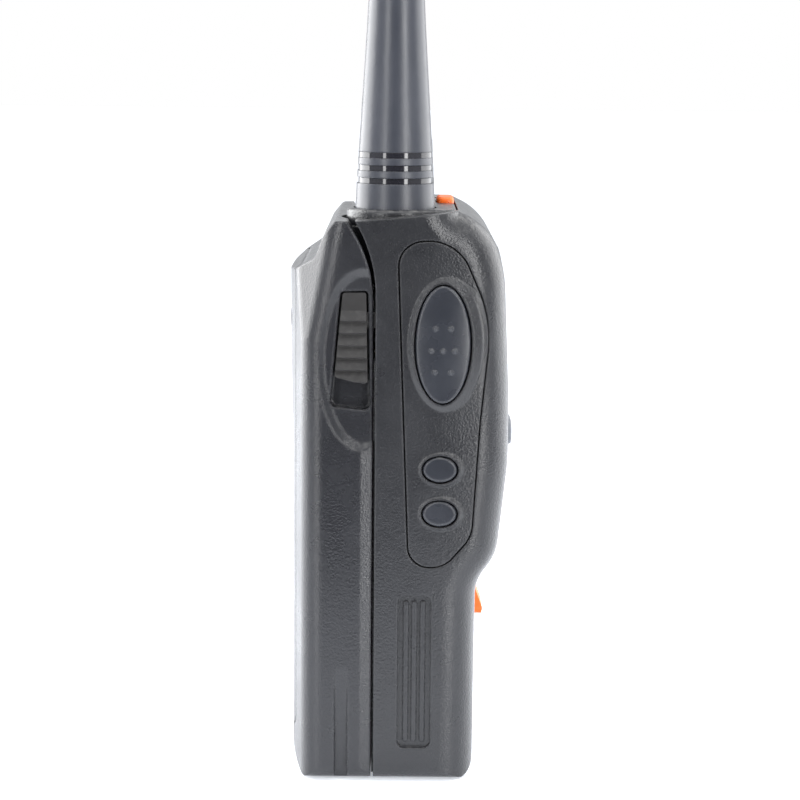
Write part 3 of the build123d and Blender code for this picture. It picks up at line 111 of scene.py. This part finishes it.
# %% [markdown]
# ## Spark grain
# The case's mould is eaten out by electric sparks, so the plastic comes out covered in round pits and
# pebbles about a third of a millimetre wide. Two sizes of noise laid over small cells give that skin: the
# cells are the pebbles, and the noise keeps them from looking like tiles. The group gives a height for a
# Bump node, and a slow mottling that makes the gloss uneven from place to place.

# %% The grain as a node group
grain, given, out = new_group("spark grain", [("Place", VECTOR), ("Pebbles", FLOAT)],
                              [("Height", FLOAT), ("Mottle", FLOAT)])
pebbles = put(grain, "ShaderNodeTexVoronoi", {"Vector": given.outputs["Place"],
                                             "Scale": given.outputs["Pebbles"], "Randomness": 1.0},
              feature="SMOOTH_F1")
fine = put(grain, "ShaderNodeTexNoise", {"Vector": given.outputs["Place"], "Scale": given.outputs["Pebbles"],
                                        "Detail": 3.0, "Roughness": 0.6})
slow = put(grain, "ShaderNodeTexNoise", {"Vector": given.outputs["Place"], "Scale": 70.0, "Detail": 4.0,
                                        "Roughness": 0.65})
height = sum_up(grain, "ADD", sum_up(grain, "MULTIPLY", pebbles.outputs["Distance"], 0.6),
                sum_up(grain, "MULTIPLY", fine.outputs[0], 0.8))
grain.links.new(height, out.inputs["Height"])
grain.links.new(spread(grain, slow.outputs[0], 0.3, 0.7), out.inputs["Mottle"])
print("grain group:", len(grain.nodes), "nodes")

# %% [markdown]
# ## Rounded and rubbed edges
# No moulded edge is sharp: it has a radius of a few tenths of a millimetre, which catches the light as a thin
# line, and it is where hands polish the skin first. A Bevel node turns the normal near an edge as if it were
# round, without touching the mesh. Where that turned normal leaves the true one is the edge itself, so the
# same node also gives the mask for the rubbing, broken up by noise.

# %% The edges as a node group
edges, given, out = new_group("soft edge", [("Place", VECTOR), ("Radius", FLOAT)],
                              [("Normal", VECTOR), ("Rubbed", FLOAT)])
turned = put(edges, "ShaderNodeBevel", {"Radius": given.outputs["Radius"]}, samples=4)
true_normal = put(edges, "ShaderNodeNewGeometry")
agree = put(edges, "ShaderNodeVectorMath", {0: turned.outputs[0], 1: true_normal.outputs["Normal"]},
            operation="DOT_PRODUCT")
patches = put(edges, "ShaderNodeTexNoise", {"Vector": given.outputs["Place"], "Scale": 260.0, "Detail": 5.0})
rubbed = sum_up(edges, "MULTIPLY", spread(edges, agree.outputs["Value"], 0.995, 0.86),
                spread(edges, patches.outputs[0], 0.38, 0.66))
edges.links.new(turned.outputs[0], out.inputs["Normal"])
edges.links.new(rubbed, out.inputs["Rubbed"])
print("edge group:", len(edges.nodes), "nodes")

# %% [markdown]
# ## Dust
# Fine dust settles on what faces up and lifts the colour a little there. The mask is the upward part of the
# normal times a patchy noise, so it stays faint and uneven.

# %% The dust as a node group
dust, given, out = new_group("settled dust", [("Place", VECTOR)], [("Dust", FLOAT)])
facing = put(dust, "ShaderNodeNewGeometry").outputs["Normal"]
up = put(dust, "ShaderNodeSeparateXYZ", {0: facing}).outputs["Z"]
specks = put(dust, "ShaderNodeTexNoise", {"Vector": given.outputs["Place"], "Scale": 900.0, "Detail": 3.0})
lying = sum_up(dust, "MULTIPLY", spread(dust, up, 0.35, 1.0), spread(dust, specks.outputs[0], 0.45, 0.75))
dust.links.new(lying, out.inputs["Dust"])
print("dust group:", len(dust.nodes), "nodes")

# %% [markdown]
# ## Tool marks on metal
# Rolled, turned and stamped metal keeps the lines of the tool that made it. The lines are a noise stretched
# hard along one direction, so they run like hairs. The stretch is an input, because a turned pin has its lines
# round its axis and a rolled sheet has them along its length.

# %% The tool marks as a node group
marks, given, out = new_group("tool marks", [("Place", VECTOR), ("Stretch", VECTOR)],
                              [("Height", FLOAT), ("Lines", FLOAT)])
drawn = put(marks, "ShaderNodeVectorMath", {0: given.outputs["Place"], 1: given.outputs["Stretch"]},
            operation="MULTIPLY")
hairs = put(marks, "ShaderNodeTexNoise", {"Vector": drawn.outputs[0], "Scale": 1.0, "Detail": 6.0,
                                         "Roughness": 0.7})
marks.links.new(hairs.outputs[0], out.inputs["Height"])
marks.links.new(spread(marks, hairs.outputs[0], 0.3, 0.7), out.inputs["Lines"])
print("tool mark group:", len(marks.nodes), "nodes")

# %% [markdown]
# ## One recipe for moulded skins
# Plastic and rubber pieces differ in colour, gloss and the size of their grain, but they are layered alike:
# the coloured resin, mottled, then a little dust and rubbed edges, with the grain as relief. So one function
# builds them all. Constant values go straight onto the shader's own sockets.

# %% The moulded recipe


def moulded(name, colour, rough, pebbles=2600.0, depth=0.05, edge=0.3, rub=0.35, dusty=0.25, mottle=0.12,
            specular=0.5, coat=0.0, glow=None):
    """A moulded plastic or rubber skin. Pebbles is per metre; depth and edge are in millimetres."""
    made = bpy.data.materials.new(name)
    made.use_nodes = True
    tree, shader = made.node_tree, made.node_tree.nodes["Principled BSDF"]
    where = put(tree, "ShaderNodeTexCoord").outputs["Object"]
    skin = place(tree, "spark grain", Place=where, Pebbles=pebbles)
    rim = place(tree, "soft edge", Place=where, Radius=edge * MM)
    film = place(tree, "settled dust", Place=where)
    shade = spread(tree, skin.outputs["Mottle"], 0.0, 1.0, 1.0 - mottle, 1.0 + mottle)
    resin = put(tree, "ShaderNodeMix", {6: (*colour, 1.0), 7: shade, 0: 1.0}, data_type="RGBA",
                blend_type="MULTIPLY").outputs[2]
    worn = put(tree, "ShaderNodeMix", {0: sum_up(tree, "MULTIPLY", rim.outputs["Rubbed"], rub), 6: resin,
                                       7: (*[min(1.0, c * 2.2 + 0.03) for c in colour], 1.0)},
               data_type="RGBA").outputs[2]
    dusted = put(tree, "ShaderNodeMix", {0: sum_up(tree, "MULTIPLY", film.outputs["Dust"], dusty), 6: worn,
                                         7: (0.42, 0.41, 0.39, 1.0)}, data_type="RGBA").outputs[2]
    gloss = spread(tree, skin.outputs["Mottle"], 0.0, 1.0, rough - 0.05, rough + 0.06)
    gloss = sum_up(tree, "SUBTRACT", gloss, sum_up(tree, "MULTIPLY", rim.outputs["Rubbed"], 0.12), clamp=True)
    relief = put(tree, "ShaderNodeBump", {"Height": skin.outputs["Height"], "Normal": rim.outputs["Normal"],
                                         "Strength": 1.0, "Distance": depth * MM})
    tree.links.new(dusted, shader.inputs["Base Color"])
    tree.links.new(gloss, shader.inputs["Roughness"])
    tree.links.new(relief.outputs[0], shader.inputs["Normal"])
    shader.inputs["Specular IOR Level"].default_value = specular
    shader.inputs["Coat Weight"].default_value = coat
    shader.inputs["Coat Roughness"].default_value = 0.25
    return made


finishes = {
    # the case and the battery have the same spark-eroded skin, from two moulds
    "case_plastic": moulded("case plastic", (0.013, 0.0135, 0.016), 0.29, 2500, 0.075, 0.5),
    "battery_plastic": moulded("battery plastic", (0.0125, 0.013, 0.016), 0.29, 2500, 0.06, 0.8),
    # keys are smoother, so that they feel different under a finger
    "key_plastic": moulded("key plastic", (0.019, 0.021, 0.027), 0.26, 5200, 0.01, 0.45, 0.2),
    "grey_key": moulded("grey key", (0.16, 0.17, 0.19), 0.4, 5200, 0.01, 0.4, 0.15),
    "orange_key": moulded("orange key", (0.95, 0.15, 0.012), 0.42, 5200, 0.012, 0.4, 0.1, 0.1),
    "knob_plastic": moulded("knob skin", (0.030, 0.030, 0.032), 0.5, 3600, 0.03, 0.4, 0.3),
    "latch_plastic": moulded("latch plastic", (0.014, 0.013, 0.013), 0.42, 3400, 0.015, 0.25, 0.3),
    "antenna_rubber": moulded("antenna rubber", (0.030, 0.033, 0.043), 0.34, 4200, 0.008, 0.4, 0.1, 0.15),
    "gloss_black": moulded("gloss black", (0.012, 0.012, 0.016), 0.06, 5200, 0.002, 0.15, 0.1, 0.1),
    "cover_rubber": moulded("cover rubber", (0.028, 0.028, 0.030), 0.6, 3000, 0.03, 0.4, 0.3),
    "board_plastic": moulded("component plastic", (0.018, 0.018, 0.020), 0.5, 4200, 0.02, 0.1, 0.3),
}
print(len(finishes), "moulded finishes")

# %% [markdown]
# ## Metals
# The screws, springs, spindles and shield cans are steel, the chassis is a die casting, the antenna's thread is
# brass, and the contacts are plated with gold. They share a recipe: a metallic shader whose gloss and relief
# follow the tool marks.

# %% The metal recipe


def metal(name, colour, rough, stretch, depth=0.01, edge=0.15, cast=0.0):
    """A metal with tool marks, and with a cast skin if cast is above zero."""
    made = bpy.data.materials.new(name)
    made.use_nodes = True
    tree, shader = made.node_tree, made.node_tree.nodes["Principled BSDF"]
    where = put(tree, "ShaderNodeTexCoord").outputs["Object"]
    cut = place(tree, "tool marks", Place=where, Stretch=stretch)
    skin = place(tree, "spark grain", Place=where, Pebbles=1500.0)
    rim = place(tree, "soft edge", Place=where, Radius=edge * MM)
    shade = spread(tree, cut.outputs["Lines"], 0.0, 1.0, 0.82, 1.08)
    tint = put(tree, "ShaderNodeMix", {6: (*colour, 1.0), 7: shade, 0: 1.0}, data_type="RGBA",
               blend_type="MULTIPLY").outputs[2]
    gloss = spread(tree, cut.outputs["Lines"], 0.0, 1.0, rough - 0.06, rough + 0.1)
    both = sum_up(tree, "ADD", cut.outputs["Height"], sum_up(tree, "MULTIPLY", skin.outputs["Height"], cast))
    relief = put(tree, "ShaderNodeBump", {"Height": both, "Normal": rim.outputs["Normal"], "Strength": 1.0,
                                         "Distance": depth * MM})
    tree.links.new(tint, shader.inputs["Base Color"])
    tree.links.new(gloss, shader.inputs["Roughness"])
    tree.links.new(relief.outputs[0], shader.inputs["Normal"])
    shader.inputs["Metallic"].default_value = 1.0
    return made


finishes.update({
    "steel": metal("steel", (0.62, 0.62, 0.64), 0.3, (300, 300, 9000)),
    "brass": metal("brass", (0.78, 0.57, 0.25), 0.28, (300, 9000, 9000)),
    "gold_contact": metal("gold contact", (0.95, 0.70, 0.30), 0.2, (6000, 6000, 400), 0.004),
    "cast_alloy": metal("cast alloy", (0.50, 0.51, 0.52), 0.45, (700, 700, 700), 0.03, 0.3, 1.5),
    "cell_foil": metal("cell foil", (0.66, 0.67, 0.70), 0.32, (160, 160, 420), 0.12, 0.4),
})
print(len(finishes), "finishes so far")

# %% [markdown]
# ## Circuit boards
# A board is green lacquer over copper. Under the lacquer the tracks show as slightly lighter and raised lines
# that turn at right angles, and bare gold shows at the pads. Manhattan cells give the right-angled tracks, and
# a ring of small dots gives the pads and vias.

# %% The board finish


def board_lacquer(name):
    """Green lacquer with tracks and gold vias."""
    made = bpy.data.materials.new(name)
    made.use_nodes = True
    tree, shader = made.node_tree, made.node_tree.nodes["Principled BSDF"]
    where = put(tree, "ShaderNodeTexCoord").outputs["Object"]
    blocks = put(tree, "ShaderNodeTexVoronoi", {"Vector": where, "Scale": 420.0, "Randomness": 0.75},
                 feature="F1", distance="MANHATTAN")
    track = spread(tree, put(tree, "ShaderNodeMath", {0: blocks.outputs["Distance"], 1: 0.18},
                             operation="PINGPONG").outputs[0], 0.075, 0.095)
    dots = put(tree, "ShaderNodeTexVoronoi", {"Vector": where, "Scale": 330.0, "Randomness": 0.9})
    via = spread(tree, dots.outputs["Distance"], 0.13, 0.11)
    green = put(tree, "ShaderNodeMix", {0: track, 6: (0.010, 0.075, 0.028, 1), 7: (0.02, 0.15, 0.055, 1)},
                data_type="RGBA").outputs[2]
    tint = put(tree, "ShaderNodeMix", {0: via, 6: green, 7: (0.85, 0.6, 0.25, 1)},
               data_type="RGBA").outputs[2]
    relief = put(tree, "ShaderNodeBump", {"Height": sum_up(tree, "ADD", track, via), "Distance": 0.03 * MM})
    tree.links.new(tint, shader.inputs["Base Color"])
    tree.links.new(via, shader.inputs["Metallic"])
    tree.links.new(relief.outputs[0], shader.inputs["Normal"])
    shader.inputs["Roughness"].default_value = 0.28
    return made


finishes["circuit_board"] = board_lacquer("board lacquer")
print("board finish:", len(finishes["circuit_board"].node_tree.nodes), "nodes")

# %% [markdown]
# ## Lens and display
# The display sits behind a clear acrylic window. The window is glass-like with a few fine scratches from
# pockets and keys. The display itself is a grey-green panel with a faint grid of dots, switched off.

# %% The clear and the display finishes


def clear_plastic(name):
    """Clear acrylic with fine scratches."""
    made = bpy.data.materials.new(name)
    made.use_nodes = True
    tree, shader = made.node_tree, made.node_tree.nodes["Principled BSDF"]
    where = put(tree, "ShaderNodeTexCoord").outputs["Object"]
    cut = place(tree, "tool marks", Place=where, Stretch=(2400, 2400, 260))
    scratch = spread(tree, cut.outputs["Lines"], 0.72, 0.9)
    gloss = spread(tree, scratch, 0.0, 1.0, 0.03, 0.3)
    tree.links.new(gloss, shader.inputs["Roughness"])
    shader.inputs["Base Color"].default_value = (0.82, 0.86, 0.88, 1)
    shader.inputs["Transmission Weight"].default_value = 0.92
    shader.inputs["IOR"].default_value = 1.49
    return made


def display_skin(name):
    """A liquid crystal panel that is switched off: grey-green, with a faint grid of dots."""
    made = bpy.data.materials.new(name)
    made.use_nodes = True
    tree, shader = made.node_tree, made.node_tree.nodes["Principled BSDF"]
    where = put(tree, "ShaderNodeTexCoord").outputs["Object"]
    turned_up = put(tree, "ShaderNodeMapping", {"Vector": where, "Rotation": (radians(90), 0, 0)}).outputs[0]
    dots = put(tree, "ShaderNodeTexBrick", {"Vector": turned_up, "Color1": (0.19, 0.22, 0.16, 1),
                                           "Color2": (0.18, 0.21, 0.155, 1), "Mortar": (0.15, 0.175, 0.13, 1),
                                           "Scale": 1.0, "Mortar Size": 0.00006, "Brick Width": 0.0005,
                                           "Row Height": 0.0005}, offset=0.0)
    tree.links.new(dots.outputs["Color"], shader.inputs["Base Color"])
    sheen_patch = put(tree, "ShaderNodeTexNoise", {"Vector": where, "Scale": 90.0, "Detail": 3.0}).outputs[0]
    tree.links.new(spread(tree, sheen_patch, 0.3, 0.7, 0.12, 0.2), shader.inputs["Roughness"])
    return made


finishes["lens"] = clear_plastic("clear window")
finishes["display_glass"] = display_skin("display panel")
print(len(finishes), "finishes in all")

# %% [markdown]
# ## Dressing the radio
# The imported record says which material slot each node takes, so the finishes are handed out from there.

# %% Hand out the finishes
slot_of = {row["node"]: row["material_slot"] for row in frame["record"]["subparts"]}
for node_name, node in frame["nodes"].items():
    if not node.material_slots:
        node.data.materials.append(None)
    for slot in node.material_slots:
        slot.material = finishes[slot_of[node_name]]
print("dressed", len(frame["nodes"]), "nodes")

# %% [markdown]
# ## Cloth behind the grille
# A dust cloth is glued behind the slits of the speaker grille, so that grit can't reach the paper cone. On the
# real radio it is a woven nylon patch. It could be a plain card, but its weave shows through the slits, so it
# gets a sheet with a real thickness, set in from the grille's edge, and a woven finish. A flat plane is enough
# to
# start from: it is divided, its middle is pushed a hair inwards as glued cloth sags, and a Solidify modifier
# gives it a body.

# %% Grille cloth


def woven(name, colour, pitch):
    """A plain weave: two sets of threads that pass over and under each other."""
    made = bpy.data.materials.new(name)
    made.use_nodes = True
    tree, shader = made.node_tree, made.node_tree.nodes["Principled BSDF"]
    where = put(tree, "ShaderNodeTexCoord").outputs["Object"]
    weft = put(tree, "ShaderNodeTexWave", {"Vector": where, "Scale": 1.0 / pitch}, bands_direction="X")
    warp = put(tree, "ShaderNodeTexWave", {"Vector": where, "Scale": 1.0 / pitch}, bands_direction="Z")
    thread = put(tree, "ShaderNodeMath", {0: weft.outputs["Fac"], 1: warp.outputs["Fac"]},
                 operation="MAXIMUM").outputs[0]
    tint = put(tree, "ShaderNodeMix", {0: thread, 6: (*[c * 0.3 for c in colour], 1), 7: (*colour, 1)},
               data_type="RGBA").outputs[2]
    relief = put(tree, "ShaderNodeBump", {"Height": thread, "Distance": 0.08 * MM})
    tree.links.new(tint, shader.inputs["Base Color"])
    tree.links.new(relief.outputs[0], shader.inputs["Normal"])
    shader.inputs["Roughness"].default_value = 0.75
    shader.inputs["Sheen Weight"].default_value = 0.2
    return made


def settle(piece):
    """Put a finished piece's place into its mesh, so that its object sits at the origin."""
    bpy.ops.object.select_all(action="DESELECT")
    piece.select_set(True)
    bpy.context.view_layer.objects.active = piece
    bpy.ops.object.transform_apply(location=True, rotation=True, scale=True)


def use_modifier(piece, kind, **settings):
    """Add a modifier to a piece, set it and apply it."""
    bpy.context.view_layer.objects.active = piece
    modifier = piece.modifiers.new(kind.title(), kind)
    for key, value in settings.items():
        setattr(modifier, key, value)
    bpy.ops.object.modifier_apply(modifier=modifier.name)


cloth_rim, cloth_gap, cloth_sag, cloth_thick = 1.2 * MM, 0.45 * MM, 0.25 * MM, 0.2 * MM
weave_pitch = 4.5 * MM
grille_low, grille_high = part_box("speaker_grille")
grille_middle = (grille_low + grille_high) / 2
cloth_wide = grille_high.x - grille_low.x - 2 * cloth_rim
cloth_tall = grille_high.z - grille_low.z - 2 * cloth_rim
bpy.ops.object.select_all(action="DESELECT")
bpy.ops.mesh.primitive_plane_add(size=1.0, rotation=(radians(90), 0, 0),
                                 location=(grille_middle.x, grille_high.y + cloth_gap, grille_middle.z))
cloth = bpy.context.object
cloth.name = "grille_cloth"
cloth.scale = (cloth_wide, cloth_tall, 1.0)
settle(cloth)
bpy.ops.object.mode_set(mode="EDIT")
bpy.ops.mesh.select_all(action="SELECT")
bpy.ops.mesh.subdivide(number_cuts=15)
bpy.ops.object.mode_set(mode="OBJECT")
for point in cloth.data.vertices:
    across = 2 * (point.co.x - grille_middle.x) / cloth_wide
    along = 2 * (point.co.z - grille_middle.z) / cloth_tall
    point.co.y += cloth_sag * max(0.0, 1 - across ** 2) * max(0.0, 1 - along ** 2)
use_modifier(cloth, "SOLIDIFY", thickness=cloth_thick, offset=0.0)
cloth.data.materials.append(woven("grille cloth", (0.035, 0.035, 0.038), weave_pitch))
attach(cloth, "radio")
print("cloth in mm:", [round(v / MM, 1) for v in cloth.dimensions])

# %% [markdown]
# ## Pointer marks on the knobs
# Each knob has a groove on its top that shows where it points, filled with white paint. The paint pools in the
# groove with a rounded top. A cube of the groove's size, bevelled along its edges, is quicker than filling the
# real groove, and looks the same because only its top shows.

# %% Pointer marks
mark_wide, mark_tall, mark_round, mark_sunk = 0.7 * MM, 0.22 * MM, 0.09 * MM, 0.27 * MM
mark_from_rim, mark_from_middle = 1.0 * MM, 1.6 * MM
paint = moulded("pointer paint", (0.75, 0.75, 0.72), 0.4, 4200, 0.01, 0.05, 0.3, 0.2)
for control in ("channel", "volume"):
    knob_low, knob_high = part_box(control + "_knob")
    knob_middle = (knob_low + knob_high) / 2
    mark_start, mark_end = knob_low.y + mark_from_rim, knob_middle.y - mark_from_middle
    bpy.ops.object.select_all(action="DESELECT")
    bpy.ops.mesh.primitive_cube_add(size=1.0, location=(knob_middle.x, (mark_start + mark_end) / 2,
                                                        knob_high.z - mark_sunk))
    mark = bpy.context.object
    mark.name = control + "_mark"
    mark.scale = (mark_wide, mark_end - mark_start, mark_tall)
    settle(mark)
    use_modifier(mark, "BEVEL", width=mark_round, segments=3)
    bpy.ops.object.shade_smooth_by_angle(angle=radians(40))
    mark.data.materials.append(paint)
    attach(mark, control + "_control")
    print(mark.name, "mm:", [round(v / MM, 2) for v in mark.dimensions])

# %% [markdown]
# ## Camera
# The radio is seen square on from the side with the talk key, from a little above its foot, with a long lens
# that keeps its sides nearly straight.

# %% Camera
camera_data = bpy.data.cameras.new("camera")
camera_data.lens, camera_data.sensor_width = 90.0, 36.0
camera_data.clip_start, camera_data.clip_end = 0.01, 20.0
camera = bpy.data.objects.new("camera", camera_data)
bpy.context.scene.collection.objects.link(camera)
bpy.context.scene.camera = camera
camera_spot, look_down, lean = (-0.39729, -0.0030, 0.13656), radians(9.509), radians(0.49)
level = Euler((radians(90), 0, radians(-90))).to_matrix().to_4x4()
camera.matrix_world = (Matrix.Translation(camera_spot) @ level
                       @ Matrix.Rotation(-look_down, 4, "X") @ Matrix.Rotation(lean, 4, "Z"))
print("camera looks along", [round(v, 3) for v in (camera.matrix_world.to_3x3() @ Vector((0, 0, -1)))])

# %% [markdown]
# ## Light tent
# The radio stands in a white tent on a glossy white sheet. White walls on all sides give the soft grey sheen on
# the flat flanks and the bright rims where the skin turns away. The tent's walls are large area lights to both
# sides and above, and a pale sky fills the rest.

# %% Floor, walls and sky
bpy.ops.object.select_all(action="DESELECT")
floor_size, floor_spot = 6.0, (2.84, 0, -0.3 * MM)
bpy.ops.mesh.primitive_plane_add(size=floor_size, location=floor_spot)
floor = bpy.context.object
floor.name = "floor"
sheet = bpy.data.materials.new("white sheet")
sheet.use_nodes = True
sheet_shader = sheet.node_tree.nodes["Principled BSDF"]
sheet_shader.inputs["Base Color"].default_value = (0.92, 0.94, 0.98, 1)
sheet_shader.inputs["Roughness"].default_value = 0.22
sheet_shader.inputs["Specular IOR Level"].default_value = 0.35
sheet_shader.inputs["Emission Color"].default_value = (0.9, 0.94, 1.0, 1)
sheet_shader.inputs["Emission Strength"].default_value = 0.4
floor.data.materials.append(sheet)


def wall_light(name, spot, aim, wide, tall, power):
    """A large soft wall of light at a spot, turned to face a point."""
    data = bpy.data.lights.new(name, "AREA")
    data.shape, data.size, data.size_y, data.energy = "RECTANGLE", wide, tall, power
    wall = bpy.data.objects.new(name, data)
    bpy.context.scene.collection.objects.link(wall)
    wall.matrix_world = (Matrix.Translation(spot)
                         @ (Vector(aim) - Vector(spot)).to_track_quat("-Z", "Y").to_matrix().to_4x4())


middle = (0.0, 0.0, 0.07)
# the walls stand to both sides and a little behind, and two slim ones nearer to the open side
wall_light("back wall", (0.30, 0.62, 0.22), middle, 0.8, 0.9, 15.0)
wall_light("front wall", (0.30, -0.62, 0.22), middle, 0.8, 0.9, 8.0)
wall_light("back strip", (-0.62, 0.40, 0.22), middle, 0.12, 0.7, 2.6)
wall_light("front strip", (-0.62, -0.40, 0.22), middle, 0.14, 0.7, 4.2)
wall_light("roof", (-0.1, 0.0, 0.9), middle, 0.9, 0.9, 7.0)

sky = bpy.data.worlds.new("tent sky")
bpy.context.scene.world = sky
sky.use_nodes = True
sky_tree = sky.node_tree
way = put(sky_tree, "ShaderNodeSeparateXYZ", {0: put(sky_tree, "ShaderNodeTexCoord").outputs["Generated"]})
brightness = spread(sky_tree, way.outputs["X"], -0.985, -0.70, 0.16, 0.9)
sky_tree.nodes["Background"].inputs["Color"].default_value = (0.95, 0.97, 1.0, 1)
sky_tree.links.new(brightness, sky_tree.nodes["Background"].inputs["Strength"])
seen_sky = put(sky_tree, "ShaderNodeBackground", {"Color": (1, 1, 1, 1), "Strength": 1.0})
ray = put(sky_tree, "ShaderNodeLightPath")
both_skies = put(sky_tree, "ShaderNodeMixShader", {0: ray.outputs["Is Camera Ray"],
                                                  1: sky_tree.nodes["Background"].outputs[0],
                                                  2: seen_sky.outputs[0]})
sky_tree.links.new(both_skies.outputs[0], sky_tree.nodes["World Output"].inputs["Surface"])
bpy.context.scene.view_settings.view_transform = "Standard"
print("tent:", len(bpy.data.lights), "lights")
